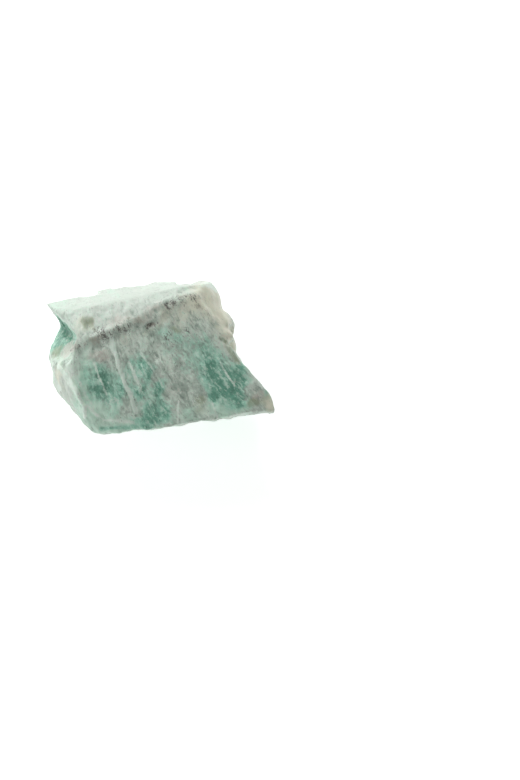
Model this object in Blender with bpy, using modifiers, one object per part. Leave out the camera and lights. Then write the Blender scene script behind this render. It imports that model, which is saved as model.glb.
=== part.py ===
"""Rough amazonite: one cleavage fragment of green feldspar, 50 mm long, lying on a small flat spot.

Lengths below are millimetres, and MM turns them into metres. +X runs along the stone's long edges,
+Y towards the back and +Z up. The origin lies under the middle of the stone's box, on the surface
that it rests on.

The stone is worked in the order in which a lump breaks: a block with plane faces, then the larger pieces
that have split off it, the splinters off its sides, and last its rough skin: small cleavage steps, grain,
raised veins and the pits along the seam.
"""

import math
import random

import bmesh
import bpy
from mathutils import Euler, Matrix, Vector, noise
from mathutils.bvhtree import BVHTree

MM = 0.001

STONE = "amazonite"
COLOUR = (0.46, 0.60, 0.53, 1.0)
ROUGHNESS = 0.55

# Corners of the block before anything has split off it
BLOCK = (
    # foot of the smooth back facet, and the edge where it meets the paler band
    (-25.4, 15.0, 16.5),
    (-19.0, 17.2, 14.0),
    (-9.9, 18.6, 13.0),
    (1.9, 18.3, 13.0),
    (10.4, 17.1, 14.0),
    (14.4, 15.2, 16.0),
    (-25.1, 12.7, 19.4),
    (-22.9, 9.4, 22.3),
    (-17.0, 10.2, 23.3),
    (-3.2, 10.2, 24.2),
    (6.1, 12.4, 23.2),
    (12.6, 13.4, 20.6),
    # highest line of the stone, just behind the seam
    (-18.6, 3.4, 24.7),
    (-11.9, 2.0, 25.3),
    (-3.5, 4.6, 25.7),
    (4.0, 7.6, 25.7),
    (9.8, 8.6, 24.4),
    # rim of the main face
    (-21.0, -2.2, 23.3),
    (-21.2, -5.2, 21.8),
    (-19.1, -13.4, 19.6),
    (-14.6, -17.6, 18.2),
    (-9.2, -19.6, 18.6),
    (0.0, -19.6, 19.0),
    (10.5, -19.0, 19.3),
    (20.3, -18.7, 18.2),
    (23.0, -12.8, 18.9),
    (17.9, -3.0, 20.6),
    (13.2, 2.2, 22.8),
    # right flank, rounded off above
    (14.0, 13.8, 18.4),
    (16.0, 4.6, 19.6),
    (14.8, 14.6, 13.0),
    (17.5, 4.4, 15.6),
    (17.8, 3.6, 10.0),
    (23.2, -11.2, 13.0),
    (24.8, -16.9, 17.0),
    (24.5, -18.3, 16.0),
    (24.2, -17.6, 13.0),
    # left flank, with its widest part low down
    (-26.3, 4.5, 10.5),
    (-25.8, -0.6, 9.0),
    (-25.0, 7.8, 11.0),
    (-25.8, -4.0, 13.6),
    (-24.0, -7.0, 14.2),
    (-21.9, -10.1, 14.8),
    (-19.9, -14.6, 15.4),
    (-16.8, -17.7, 15.6),
    (-22.6, -8.4, 8.6),
    (-19.8, -12.8, 8.6),
    (-16.9, -16.2, 10.5),
    # undersides
    (-22.6, 6.4, 3.4),
    (-21.8, -3.2, 1.8),
    (-17.2, -11.8, 2.6),
    (-2.0, -14.6, 3.6),
    (13.8, -14.4, 4.6),
    (21.4, -11.0, 3.8),
    (17.8, -1.4, 1.4),
    (13.8, 13.6, 3.6),
    (-2.5, 17.6, 2.4),
    (-16.0, 16.2, 4.2),
    # the flat spot under it
    (-13.0, -6.0, -0.7),
    (-1.5, -9.8, -0.7),
    (11.5, -8.4, -0.7),
    (14.0, 1.0, -0.7),
    (4.0, 10.0, -0.7),
    (-11.5, 8.6, -0.7),
)

# The main face is a cleavage plane: its height at the middle, and how far it climbs per mm along X and Y
FACE_HEIGHT = 24.0
FACE_SLOPE = (-0.02, 0.215)
# The seam, where the main face steps down from the paler band behind it
SEAM = (
    (-26.0, -4.6),
    (-21.1, -1.2),
    (-18.6, 1.6),
    (-14.9, 1.2),
    (-11.7, 2.3),
    (-8.2, 2.9),
    (-3.5, 5.6),
    (3.0, 8.7),
    (10.6, 12.4),
)
AWAY_FROM_SEAM = ((32.0, 14.0), (34.0, -30.0), (-34.0, -30.0), (-34.0, -10.0))
CLEAR_ABOVE = 12.0

# The white sheets in the green feldspar stand nearly upright, this many degrees round from the YZ plane
SHEET_TURN = 17.0
FACE_TILT = math.degrees(math.atan(FACE_SLOPE[1]))

# Large pieces that have split off, each given by the corners of the room that it left
SPLITS = {
    # under the lip at the back left corner
    "left_notch": (
        (-18.6, 4.1, 19.8),
        (-18.2, 3.9, 30.0),
        (-23.0, 10.0, 10.3),
        (-22.6, 9.6, 30.0),
        (-25.0, 15.6, 6.0),
        (-24.9, 15.2, 17.0),
        (-20.9, -2.2, 22.2),
        (-21.3, -2.4, 30.0),
        (-36.0, 15.0, -4.0),
        (-36.0, 15.0, 30.0),
        (-36.0, -1.5, 4.0),
        (-36.0, -1.5, 30.0),
    ),
    # the narrow ledge along the front left rim
    "front_left_ledge": (
        (-19.6, -11.2, 20.6),
        (-15.3, -15.7, 19.1),
        (-12.0, -17.0, 18.9),
        (-3.5, -18.2, 19.2),
        (-20.6, -15.0, 17.6),
        (-16.0, -19.6, 16.9),
        (-3.0, -21.0, 18.0),
        (-19.6, -11.0, 28.0),
        (-12.0, -16.8, 28.0),
        (-3.5, -18.0, 28.0),
        (-24.0, -16.0, 28.0),
        (-12.0, -28.0, 28.0),
    ),
    # the dip in front of the pale lobes, down the right side
    "right_scoop": (
        (15.2, -1.0, 22.5),
        (17.6, -2.2, 16.0),
        (18.1, -2.0, 9.0),
        (19.0, -6.2, 21.6),
        (22.8, -12.9, 19.6),
        (20.0, -6.0, 15.0),
        (23.6, -12.6, 14.0),
        (15.1, -0.9, 28.0),
        (22.8, -12.9, 28.0),
        (32.0, -1.0, 9.0),
        (32.0, -1.0, 28.0),
        (32.0, -12.4, 12.0),
        (32.0, -12.4, 28.0),
    ),
    # the corner wedge at the front right
    "right_wedge": (
        (19.2, -12.9, 19.4),
        (23.6, -12.3, 18.3),
        (17.4, -19.8, 18.6),
        (25.4, -18.8, 16.9),
        (19.2, -12.9, 28.0),
        (32.0, -12.0, 16.0),
        (32.0, -12.0, 28.0),
        (17.0, -28.0, 17.0),
        (17.0, -28.0, 28.0),
        (32.0, -28.0, 14.0),
    ),
    # two notches between the lobes
    "lobe_notch": (
        (16.9, 2.8, 30.0),
        (16.9, 2.8, 9.0),
        (22.0, 4.6, 30.0),
        (22.0, 4.6, 9.0),
        (22.0, 1.6, 30.0),
        (22.0, 1.6, 9.0),
    ),
    "back_lobe_notch": (
        (15.5, 8.6, 30.0),
        (15.0, 8.4, 6.0),
        (20.0, 13.0, 30.0),
        (20.0, 13.0, 6.0),
        (20.0, 6.6, 30.0),
        (20.0, 6.6, 6.0),
    ),
    "lobe_side": (
        (17.9, 4.6, 30.0),
        (17.6, 4.6, 5.0),
        (17.7, -3.0, 30.0),
        (17.4, -3.0, 5.0),
        (30.0, 6.0, 30.0),
        (30.0, 6.0, 5.0),
        (30.0, -3.0, 30.0),
        (30.0, -3.0, 5.0),
    ),
    # broken steps on the sides that face away
    "front_step": (
        (-12.0, -16.2, 12.6),
        (14.0, -16.6, 13.8),
        (-13.0, -23.0, 14.4),
        (15.0, -23.0, 15.0),
        (-8.0, -14.4, 6.4),
        (10.0, -14.6, 7.4),
        (-8.0, -23.0, 4.0),
        (10.0, -23.0, 5.0),
    ),
    "front_right_step": (
        (8.0, -15.2, 8.6),
        (26.0, -12.2, 9.4),
        (8.0, -24.0, 9.6),
        (26.0, -24.0, 10.4),
        (9.0, -13.0, 0.0),
        (26.0, -8.0, 0.0),
        (9.0, -24.0, 0.0),
        (26.0, -24.0, 0.0),
    ),
    "left_step": (
        (-22.4, -10.5, 9.4),
        (-22.2, 3.0, 10.2),
        (-30.0, -12.0, 10.6),
        (-30.0, 3.4, 10.6),
        (-20.2, -10.0, 2.0),
        (-19.6, 2.4, 2.0),
        (-30.0, -12.0, 2.0),
        (-30.0, 3.0, 2.0),
    ),
    "back_step": (
        (-14.0, 15.4, 9.6),
        (5.0, 16.6, 8.6),
        (-14.0, 24.0, 11.0),
        (5.0, 24.0, 10.0),
        (-12.0, 12.6, 2.0),
        (5.0, 13.6, 1.0),
        (-12.0, 24.0, 2.0),
        (5.0, 24.0, 1.0),
    ),
    "back_left_step": (
        (-24.0, 9.6, 8.8),
        (-15.4, 15.4, 8.0),
        (-30.0, 24.0, 9.0),
        (-18.2, 7.0, 1.0),
        (-12.0, 11.4, 1.0),
        (-28.0, 22.0, 1.0),
        (-30.0, 10.0, 8.0),
        (-28.0, 9.0, 1.0),
    ),
    "right_step": (
        (16.2, 7.0, 8.4),
        (18.0, -7.6, 9.4),
        (28.0, 8.0, 8.8),
        (28.0, -9.0, 9.8),
        (14.6, 7.0, 2.2),
        (16.6, -7.0, 2.0),
        (28.0, 8.0, 2.0),
        (28.0, -9.0, 2.0),
    ),
}

# Small steps of the cleavage: their size along the sheets, through them and off the main face, and the
# depth that they reach
STEPS = (
    ((9.0, 3.2, 3.4), 0.55),
    ((4.2, 1.5, 1.7), 0.34),
)
# The steps' edges stray this far from straight, over waves of this length
STEP_WANDER = 0.9
STEP_WANDER_LENGTH = 5.0
# Sets one size of step apart from the next
STEP_SHIFT = (31.7, 17.3, 5.1)

# Grain drawn out along the sheets: the length of its waves along them, through them and off the main face
GRAIN_WAVES = (6.0, 1.5, 3.2)
GRAIN_HEIGHT = 0.34

# Splinters off the sides: how many, the range of their widths and of their depths as a share of the width,
# and how far they may lie askew in the cleavage. Each one is long and runs out over the nearer rim
SPLINTERS = 44
SPLINTER_WIDTHS = (1.8, 9.0)
SPLINTER_BITES = (0.1, 0.24)
SPLINTER_HEIGHTS = (1.5, 18.5)
SPLINTER_LENGTH = 30.0
SPLINTER_TURN = math.radians(11.0)
SPLINTER_SEED = 5
# None has left the front above this height or over its rim, so the main face's front rim runs straight
FRONT_KEPT_ABOVE = 14.0
# The line on which a splinter's place is found starts this far out
FAR_OUT = 60.0
# Half the stone's length, depth and height
HALF_SIZE = (25.0, 18.0, 12.5)

# Raised white veins on the main face: the ends of each one, and its half width
VEINS = (
    ((-11.4, 1.6), (-7.4, -16.4), 0.55),
    ((-15.8, -3.4), (-12.2, -11.4), 0.45),
    ((-21.2, -3.6), (-18.6, -13.6), 0.70),
    ((-6.6, -2.4), (-2.2, -14.6), 0.50),
    ((3.0, -3.0), (8.2, -17.0), 0.45),
    ((11.4, -1.0), (15.4, -12.4), 0.50),
)
VEIN_HEIGHT = 0.45
# The veins stray this far from straight, over waves of this length
VEIN_WANDER = 0.8
VEIN_WANDER_LENGTH = 6.0
# A vein keeps this share of its length clear of its fading ends
VEIN_END = 0.02

# Pits along the seam: how many, their radii, and their depth as a share of the radius
PITS = 26
PIT_RADII = (0.45, 1.15)
PIT_DEPTH = 0.65
# The stretch of the seam that has them, counted in its corners, and how far they stray from it
PIT_STRETCH = (0.5, 6.8)
PIT_SPREAD = 1.0
PIT_FORWARD = 0.4
PIT_SEED = 11

# Veins and pits are on what faces up above this height
UPPER_FROM = 15.0
# How much of the steps' depth the upper side and the back facet lose, and how much of the grain's height
# the back facet loses
UPPER_CALM = 0.55
BACK_CALM = 0.6
BACK_GRAIN_CALM = 0.5
# Nothing rough is left on the lowest part, so that the stone lies on one flat spot
SMOOTH_BELOW = 1.6

# Size of the even faces while the skin is worked and when it is done, and how many faces are kept
WORKED_SIZE = 0.42
FINISHED_SIZE = 0.3
FACES_LEFT = 8900


def metres(point):
    """A point given in millimetres, in metres."""
    return Vector(point) * MM


def cleavage_frame():
    """The rotation into the cleavage: X along the white sheets, Y through them and Z off the main face."""
    turn = Euler((0, 0, math.radians(SHEET_TURN))).to_matrix()
    tilt = Euler((math.radians(FACE_TILT), 0, 0)).to_matrix()
    through, along, off_face = (tilt @ turn).col
    return Matrix((-along, through, off_face))


def face_height(x, y):
    """The height of the main face's plane, in mm."""
    return FACE_HEIGHT + FACE_SLOPE[0] * x + FACE_SLOPE[1] * y


def new_object(name, mesh_maker, collection):
    """An object whose mesh is what mesh_maker leaves in a bmesh."""
    bm = bmesh.new()
    mesh_maker(bm)
    bmesh.ops.recalc_face_normals(bm, faces=bm.faces)
    mesh = bpy.data.meshes.new(name)
    bm.to_mesh(mesh)
    bm.free()
    made = bpy.data.objects.new(name, mesh)
    collection.objects.link(made)
    return made


def span(corners):
    """A maker for the plane-faced body that the corners span."""

    def make(bm):
        for corner in corners:
            bm.verts.new(metres(corner))
        hull = bmesh.ops.convex_hull(bm, input=bm.verts)
        inside = {v for v in hull["geom_interior"] if isinstance(v, bmesh.types.BMVert)}
        bmesh.ops.delete(bm, geom=list(inside), context="VERTS")

    return make


def above_main_face(bm):
    """Everything in front of the seam and above the main face: what the main cleavage took away."""
    outline = [*SEAM, *AWAY_FROM_SEAM]
    floor = [bm.verts.new(metres((x, y, face_height(x, y)))) for x, y in outline]
    face = bm.faces.new(floor)
    lid = bmesh.ops.extrude_face_region(bm, geom=[face])["geom"]
    corners = [g for g in lid if isinstance(g, bmesh.types.BMVert)]
    bmesh.ops.translate(bm, vec=metres((0, 0, CLEAR_ABOVE)), verts=corners)


def splinter_places(stone):
    """Where splinters have left the stone's sides: a matrix for a unit cube each.

    A splinter lies nearly in the cleavage. It reaches far off the side, and far towards the nearer rim.
    """
    draw = random.Random(SPLINTER_SEED)
    tree = BVHTree.FromObject(stone, bpy.context.evaluated_depsgraph_get())
    middle = Vector((0, 0, HALF_SIZE[2]))
    places = []
    while len(places) < SPLINTERS:
        round_it = draw.uniform(0, math.tau)
        height = draw.uniform(*SPLINTER_HEIGHTS)
        width = draw.uniform(*SPLINTER_WIDTHS)
        bite = width * draw.uniform(*SPLINTER_BITES)
        askew = Euler([draw.uniform(-SPLINTER_TURN, SPLINTER_TURN) for _ in range(3)]).to_matrix()
        outwards = Vector((math.cos(round_it), math.sin(round_it), 0))
        start = metres(outwards * FAR_OUT + Vector((0, 0, height)))
        spot, normal, _, _ = tree.ray_cast(start, -outwards)
        if spot is None or normal.z > 0.5:
            continue
        to_splinter = askew @ cleavage_frame()
        facing = to_splinter @ normal
        rim = to_splinter @ Vector([o / h for o, h in zip(spot / MM - middle, HALF_SIZE)])
        off_side = max(range(3), key=lambda axis: abs(facing[axis]))
        to_rim = max((axis for axis in range(3) if axis != off_side), key=lambda axis: abs(rim[axis]))
        runs_up = to_rim == 2 and rim.z > 0
        if normal.y < -0.5 and (runs_up or height + width / 2 > FRONT_KEPT_ABOVE):
            continue
        size = Vector((width, width, width))
        shift = Vector((0, 0, 0))
        for axis, direction in ((off_side, facing), (to_rim, rim)):
            size[axis] = SPLINTER_LENGTH
            shift[axis] = math.copysign(SPLINTER_LENGTH / 2, direction[axis])
        shift[off_side] -= math.copysign(bite, facing[off_side])
        centre = spot + to_splinter.transposed() @ shift * MM
        places.append(Matrix.LocRotScale(centre, to_splinter.transposed(), size * MM))
    return places


def splinter(place):
    """A maker for the body of one splinter."""

    def make(bm):
        bmesh.ops.create_cube(bm, size=1.0)
        bmesh.ops.transform(bm, matrix=place, verts=bm.verts)

    return make


def seam_pits():
    """The centres and radii of the pits, scattered along the seam."""
    draw = random.Random(PIT_SEED)
    pits = []
    for _ in range(PITS):
        place = draw.uniform(*PIT_STRETCH)
        start, end = Vector(SEAM[int(place)]), Vector(SEAM[int(place) + 1])
        stray = Vector((draw.gauss(0, PIT_SPREAD), draw.gauss(-PIT_FORWARD, PIT_SPREAD)))
        pits.append((start.lerp(end, place % 1) + stray, draw.uniform(*PIT_RADII)))
    return pits


def step_depth(point, to_cleavage):
    """How deep the cleavage steps cut at a point, in mm. Each step is one block of a wandering lattice."""
    wander = noise.noise_vector(point / STEP_WANDER_LENGTH) * STEP_WANDER
    local = to_cleavage @ (point + wander)
    depth = 0.0
    for number, (size, reach) in enumerate(STEPS):
        block = Vector([math.floor(c / s) for c, s in zip(local, size)])
        depth += reach * (1 + noise.cell(block + Vector(STEP_SHIFT) * (number + 1))) / 2
    return depth


def grain_depth(point, to_cleavage):
    """How deep the grain lies at a point, in mm."""
    waves = Vector([c / w for c, w in zip(to_cleavage @ point, GRAIN_WAVES)])
    return GRAIN_HEIGHT * noise.fractal(waves, 1.0, 2.0, 3)


def vein_rise(point):
    """How far the white veins stand up at a point of the main face, in mm."""
    spot = point.xy + Vector((noise.noise(point / VEIN_WANDER_LENGTH) * VEIN_WANDER, 0))
    rise = 0.0
    for start, end, half_width in VEINS:
        line = Vector(end) - Vector(start)
        reach = spot - Vector(start)
        share = min(max(reach.dot(line) / line.length_squared, VEIN_END), 1 - VEIN_END)
        off = (reach - line * share).length / half_width
        rise = max(rise, math.sqrt(math.sin(math.pi * share)) * (1 - off * off))
    return VEIN_HEIGHT * rise


def pit_depth(point, pits):
    """How deep the pits are at a point, in mm."""
    depth = 0.0
    for centre, radius in pits:
        off = (point.xy - centre).length / radius
        depth = max(depth, PIT_DEPTH * radius * (1 - off * off))
    return depth


def skin_depth(point, normal, to_cleavage, pits):
    """How far the rough skin lies inside the worked block at a point, in mm."""
    upper = max(0.0, normal.z) ** 2 if point.z > UPPER_FROM else 0.0
    back = min(1.0, 2 * max(0.0, normal.y) * max(0.0, normal.z))
    rough = min(max(point.z / SMOOTH_BELOW, 0.0), 1.0)
    steps = step_depth(point, to_cleavage) * (1 - UPPER_CALM * upper) * (1 - BACK_CALM * back)
    grain = grain_depth(point, to_cleavage) * (1 - BACK_GRAIN_CALM * back)
    return (steps + grain) * rough + (pit_depth(point, pits) - vein_rise(point)) * upper


def roughen(bm):
    """Moves the worked block's skin in and out."""
    to_cleavage = cleavage_frame()
    pits = seam_pits()
    bm.normal_update()
    depths = [skin_depth(vert.co / MM, vert.normal, to_cleavage, pits) for vert in bm.verts]
    moves = [-vert.normal * depth * MM for vert, depth in zip(bm.verts, depths)]
    for vert, move in zip(bm.verts, moves):
        vert.co += move


def flat_spot(bm):
    """Cuts the stone off flat at the surface that it lies on."""
    geometry = [*bm.verts, *bm.edges, *bm.faces]
    cut = bmesh.ops.bisect_plane(
        bm, geom=geometry, dist=1e-7, plane_co=(0, 0, 0), plane_no=(0, 0, 1), clear_inner=True
    )
    rim = [e for e in cut["geom_cut"] if isinstance(e, bmesh.types.BMEdge)]
    bmesh.ops.contextual_create(bm, geom=rim)


def centre_over_origin(bm):
    """Slides the stone so that the origin is under the middle of its box."""
    middle = [(min(v.co[i] for v in bm.verts) + max(v.co[i] for v in bm.verts)) / 2 for i in (0, 1)]
    bmesh.ops.translate(bm, vec=(-middle[0], -middle[1], 0), verts=bm.verts)


def settled(obj):
    """Replaces an object's mesh by what its modifiers make of it, and drops them."""
    bpy.context.view_layer.update()
    graph = bpy.context.evaluated_depsgraph_get()
    mesh = bpy.data.meshes.new_from_object(obj.evaluated_get(graph))
    obj.modifiers.clear()
    obj.data = mesh


def remesh(obj, size):
    """Gives the object an even skin of small faces."""
    modifier = obj.modifiers.new("even_skin", "REMESH")
    modifier.mode = "VOXEL"
    modifier.voxel_size = size * MM
    settled(obj)


def work(obj, worker):
    """Runs worker on the object's mesh as a bmesh."""
    bm = bmesh.new()
    bm.from_mesh(obj.data)
    worker(bm)
    bm.to_mesh(obj.data)
    bm.free()


def amazonite_material():
    """Pale blue-green feldspar with a dull cleavage shine."""
    material = bpy.data.materials.new("amazonite")
    material.use_nodes = True
    shader = material.node_tree.nodes["Principled BSDF"]
    shader.inputs["Base Color"].default_value = COLOUR
    shader.inputs["Roughness"].default_value = ROUGHNESS
    shader.inputs["Metallic"].default_value = 0.0
    material.diffuse_color = COLOUR
    return material


def clear_scene():
    """Removes what the startup scene holds."""
    for obj in list(bpy.data.objects):
        bpy.data.objects.remove(obj)


def new_collection(name):
    """A collection in the scene."""
    made = bpy.data.collections.new(name)
    bpy.context.scene.collection.children.link(made)
    return made


def cutting_body(name, maker, collection):
    """An object that only takes away."""
    body = new_object(name, maker, collection)
    body.hide_render = True
    body.display_type = "WIRE"
    return body


def take_away(stone, collection):
    """Takes everything that the collection's bodies fill off the stone."""
    cut = stone.modifiers.new(collection.name, "BOOLEAN")
    cut.operation = "DIFFERENCE"
    cut.solver = "EXACT"
    cut.operand_type = "COLLECTION"
    cut.collection = collection
    settled(stone)


def thin_out(stone):
    """Joins small faces where the skin is nearly flat, down to the number wanted."""
    stone.modifiers.new("three_sided", "TRIANGULATE")
    settled(stone)
    thin = stone.modifiers.new("fewer_faces", "DECIMATE")
    thin.ratio = FACES_LEFT / len(stone.data.polygons)
    settled(stone)


def main():
    """Builds the stone."""
    clear_scene()
    parts = new_collection("rough_amazonite")
    lost_pieces = new_collection("lost_pieces")
    lost_splinters = new_collection("lost_splinters")
    stone = new_object(STONE, span(BLOCK), parts)
    cutting_body("main_cleavage", above_main_face, lost_pieces)
    for name, corners in SPLITS.items():
        cutting_body(name, span(corners), lost_pieces)
    take_away(stone, lost_pieces)
    for number, place in enumerate(splinter_places(stone)):
        cutting_body(f"splinter_{number}", splinter(place), lost_splinters)
    take_away(stone, lost_splinters)
    remesh(stone, WORKED_SIZE)
    work(stone, roughen)
    remesh(stone, FINISHED_SIZE)
    thin_out(stone)
    work(stone, flat_spot)
    work(stone, centre_over_origin)
    stone.data.materials.append(amazonite_material())


main()
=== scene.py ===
"""Rough amazonite: the finished look of one cleavage fragment of blue-green feldspar.

The stone's own solid gives the shape. A copy of it gets an even fine skin, its flat cleavages are made
crisp, and then small steps, chips, raised white veins and shallow hollows are worked into that skin.
Patches and lines of each tint are kept on the skin as attributes, and one procedural finish turns them into
coloured feldspar.

Lengths are millimetres, and MM turns them into metres. Only the studio's own are metres from the start.
"""

import logging
import math
from dataclasses import dataclass, field
from enum import Enum
from typing import Union

import bmesh
import bpy
import numpy as np
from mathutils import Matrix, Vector, noise


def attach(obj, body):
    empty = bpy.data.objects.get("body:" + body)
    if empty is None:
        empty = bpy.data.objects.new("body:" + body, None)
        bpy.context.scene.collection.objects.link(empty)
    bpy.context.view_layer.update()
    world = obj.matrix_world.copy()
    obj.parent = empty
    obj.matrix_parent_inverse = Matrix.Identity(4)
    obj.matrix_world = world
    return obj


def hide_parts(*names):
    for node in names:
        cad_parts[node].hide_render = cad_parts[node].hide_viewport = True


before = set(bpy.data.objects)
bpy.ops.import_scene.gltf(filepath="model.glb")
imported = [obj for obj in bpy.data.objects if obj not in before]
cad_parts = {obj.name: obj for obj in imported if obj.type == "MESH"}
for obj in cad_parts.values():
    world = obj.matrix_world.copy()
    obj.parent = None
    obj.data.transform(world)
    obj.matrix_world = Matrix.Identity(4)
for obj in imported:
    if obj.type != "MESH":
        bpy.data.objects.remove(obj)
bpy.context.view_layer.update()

MM = 0.001
NODE = "amazonite"
# Corners of the solid that are nearer than this are one corner
MERGE_WITHIN = 0.001
# Up to this share of its width, a tread of the cleavage is level
TREAD_LEVEL = 0.72
# Up to this share of its half width, a swell or a line is level
CORE = 0.1
# How fast a tinted patch fades outwards
FADE = 1.1
LOG = logging.getLogger("rough_amazonite")
Pair = tuple[float, float]
Triple = tuple[float, float, float]


class Tint(Enum):
    """What a patch or a line of the stone is tinted by. Each one is an attribute of that name on the skin."""

    GREEN = "green"
    MINT = "mint"
    PALE = "pale"
    CREAM = "cream"
    OLIVE = "olive"
    ROSE = "rose"
    STAIN = "stain_and_crease_shade"
    PIT = "pit"
    WHITE = "white"


def smooth_step(values: np.ndarray, low: float, high: float) -> np.ndarray:
    """Eases values from 0 at low to 1 at high.

    Args:
        values: The numbers to ease.
        low: Where the result starts to rise from 0.
        high: Where the result reaches 1. It may be below low.

    Returns:
        Numbers from 0 to 1.
    """
    share = np.clip((values - low) / (high - low), 0.0, 1.0)
    return share * share * (3.0 - 2.0 * share)


def reach_from(points: np.ndarray, middle: Pair, half_size: Pair, lean: float) -> np.ndarray:
    """How far each place is from the middle of an ellipse, seen from above.

    Args:
        points: Places in mm, one row each.
        middle: The ellipse's middle, in mm.
        half_size: Its half width and half length, in mm.
        lean: How far its length is turned from the Y axis, in degrees.

    Returns:
        Distances, which are 1 on the ellipse.
    """
    turn = math.radians(lean)
    away = points[:, :2] - np.asarray(middle)
    through = away[:, 0] * math.cos(turn) + away[:, 1] * math.sin(turn)
    along = away[:, 1] * math.cos(turn) - away[:, 0] * math.sin(turn)
    return np.hypot(through / half_size[0], along / half_size[1])


def noise_at(points: np.ndarray, waves: Triple, octaves: int, shift: float) -> np.ndarray:
    """Fractal noise, one value for each point.

    Args:
        points: Places in mm, one row each.
        waves: The length of the noise's waves along each axis, in mm.
        octaves: How many finer layers the noise has.
        shift: Sets one noise apart from the next.

    Returns:
        Values around 0, mostly between -1 and 1.
    """
    places = points / np.asarray(waves) + shift
    values = (noise.fractal(Vector(place), 1.0, 2.0, octaves) for place in places)
    return np.fromiter(values, float, len(places))


def drift_at(points: np.ndarray, waves: Triple, octaves: int, shift: float, apart: float) -> np.ndarray:
    """Fractal noise in three directions, which leads places astray.

    Args:
        points: Places in mm, one row each.
        waves: The length of the noise's waves along each axis, in mm.
        octaves: How many finer layers the noise has.
        shift: Sets this drift apart from the next.
        apart: Sets its three directions apart from each other.

    Returns:
        Rows of three values around 0.
    """
    return np.column_stack([noise_at(points, waves, octaves, shift + apart * axis) for axis in range(3)])


@dataclass(frozen=True)
class Cleavage:
    """The directions in which the stone splits, and in which its white sheets lie."""

    face_height: float = 24.0
    face_slope: Pair = (-0.02, 0.215)
    turn: float = math.radians(19.5)
    fan: float = 0.011

    def grain(self, points: np.ndarray) -> np.ndarray:
        """Turns places into the stone's own directions.

        Args:
            points: Places in mm, one row each.

        Returns:
            Rows of three lengths in mm: through the white sheets, along them and off the main face.
        """
        x, y, z = points.T
        across, run = math.cos(self.turn), math.sin(self.turn)
        through = x * across + y * (run + self.fan * x)
        along = y * across - x * run
        off_face = z - self.face_height - self.face_slope[0] * x - self.face_slope[1] * y
        return np.column_stack((through, along, off_face))


@dataclass(frozen=True)
class Relief:
    """One kind of small unevenness: the length of its waves in the stone's directions, and its height."""

    waves: Triple
    height: float
    octaves: int = 3
    treads: float = 0.0
    shift: float = 0.0

    def rise(self, grain: np.ndarray) -> np.ndarray:
        """How far the skin stands out at each place.

        Args:
            grain: Places in the stone's own directions.

        Returns:
            Heights in mm, cut into flat treads if the relief has them.
        """
        heights = noise_at(grain, self.waves, self.octaves, self.shift)
        if self.treads:
            steps = heights * self.treads
            floor = np.floor(steps)
            heights = (floor + smooth_step(steps - floor, TREAD_LEVEL, 1.0)) / self.treads
        return heights * self.height


@dataclass(frozen=True)
class Chips:
    """Small broken plates of the skin, each a little higher or lower than the next."""

    waves: Triple
    height: float
    shift: float = 0.0
    bend_waves: Triple = (1.6, 1.6, 1.6)
    bend: float = 0.5
    bend_apart: float = 9.0
    # Large uneven numbers, which give each plate a height of its own
    scatter: Triple = (12.99, 78.23, 37.72)
    scatter_scale: float = 43758.55

    def rise(self, grain: np.ndarray) -> np.ndarray:
        """How far the skin stands out at each place.

        Args:
            grain: Places in the stone's own directions.

        Returns:
            Heights in mm, the same all over each plate.
        """
        bends = drift_at(grain, self.bend_waves, 2, self.shift, self.bend_apart)
        places = (grain + bends * self.bend) / np.asarray(self.waves) + self.shift
        middles = np.array([noise.voronoi(Vector(place))[1][0] for place in places])
        mixed = np.sin(middles @ np.array(self.scatter)) * self.scatter_scale
        return (mixed - np.floor(mixed) - 0.5) * 2.0 * self.height


@dataclass(frozen=True)
class Patch:
    """A tinted patch: its middle, half width and half length, strength, lean, and what it stays below."""

    tint: Tint
    middle: Pair
    half_size: Pair
    strength: float
    lean: float = 0.0
    below: float = math.inf

    def cover(self, points: np.ndarray) -> np.ndarray:
        """How strongly the patch covers each place.

        Args:
            points: Places in mm, one row each.

        Returns:
            Values from 0 far outside the patch to its strength in its middle.
        """
        reach = reach_from(points, self.middle, self.half_size, self.lean)
        return self.strength * np.exp(-FADE * reach * reach) * (points[:, 2] < self.below)


@dataclass(frozen=True)
class Swell:
    """A smooth rise or hollow of the skin: its middle, its half width and half length, and its height."""

    middle: Pair
    half_size: Pair
    height: float
    lean: float = 0.0

    def rise(self, points: np.ndarray) -> np.ndarray:
        """How far the skin stands out at each place, in mm."""
        reach = reach_from(points, self.middle, self.half_size, self.lean)
        return self.height * smooth_step(reach, 1.0, CORE)


@dataclass(frozen=True)
class Pull:
    """A corner drawn out sideways: its middle, how far round it the skin follows, and how far it is drawn."""

    middle: Pair
    reach: float
    draw: Pair

    def shift(self, points: np.ndarray) -> np.ndarray:
        """How far each point moves.

        Args:
            points: Places in mm, one row each.

        Returns:
            Rows of moves in mm.
        """
        away = np.hypot(*(points[:, :2] - np.asarray(self.middle)).T)
        near = smooth_step(away / self.reach, 1.0, 0.0)
        return near[:, None] * np.array((*self.draw, 0.0))


@dataclass(frozen=True)
class Line:
    """A narrow line through the given places: its half width, strength, height and what it stays below."""

    tint: Tint
    places: tuple[Pair, ...]
    half_width: float
    strength: float = 1.0
    height: float = 0.0
    below: float = math.inf

    def nearness(self, points: np.ndarray) -> np.ndarray:
        """How near each place is to the line.

        Args:
            points: Places in mm, one row each.

        Returns:
            Values from 0 outside the line to 1 on it.
        """
        best = np.full(len(points), np.inf)
        for start, end in zip(self.places, self.places[1:]):
            base, run = np.asarray(start), np.subtract(end, start)
            away = points[:, :2] - base
            share = np.clip(away @ run / (run @ run), 0.0, 1.0)
            best = np.minimum(best, np.hypot(*(away - share[:, None] * run).T))
        return smooth_step(best / self.half_width, 1.0, CORE) * (points[:, 2] < self.below)


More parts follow.
